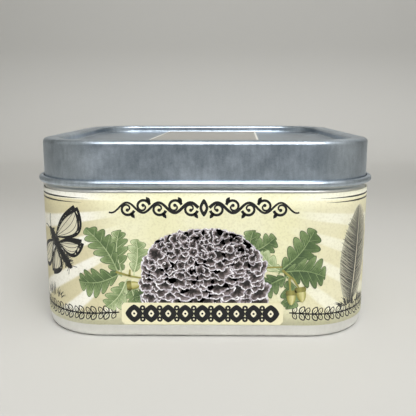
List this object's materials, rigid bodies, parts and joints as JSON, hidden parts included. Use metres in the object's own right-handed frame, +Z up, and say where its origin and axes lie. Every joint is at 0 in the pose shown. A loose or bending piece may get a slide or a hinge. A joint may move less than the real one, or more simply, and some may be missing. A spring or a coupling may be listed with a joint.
{
  "type": "square slip-lid tin",
  "caption": "Square tinplate tin with rounded corners, a recessed slip-on lid with a rolled bead, and a paper label wrapped round the body.",
  "frame": {"origin": "centre of the base, on the surface that the tin stands on", "axes": "+Z up, along which the lid lifts; -Y to the front, the side with the label's main picture; +X to the right seen from the front"},
  "size_m": [0.1054, 0.1054, 0.0592],
  "materials": {
    "tinplate": "frosted tinplate",
    "label_paper": "satin printed paper",
    "lid_label_paper": "satin paper"
  },
  "bodies": {
    "tin": {"tin_body": "tinplate", "body_label": "label_paper"},
    "lid": {"lid": "tinplate", "lid_label": "lid_label_paper"}
  },
  "joints": [
    {"name": "lid_lift", "type": "slide", "parent": "tin", "child": "lid", "axis": [0, 0, 1], "range_m": [0, 0.035]}
  ]
}
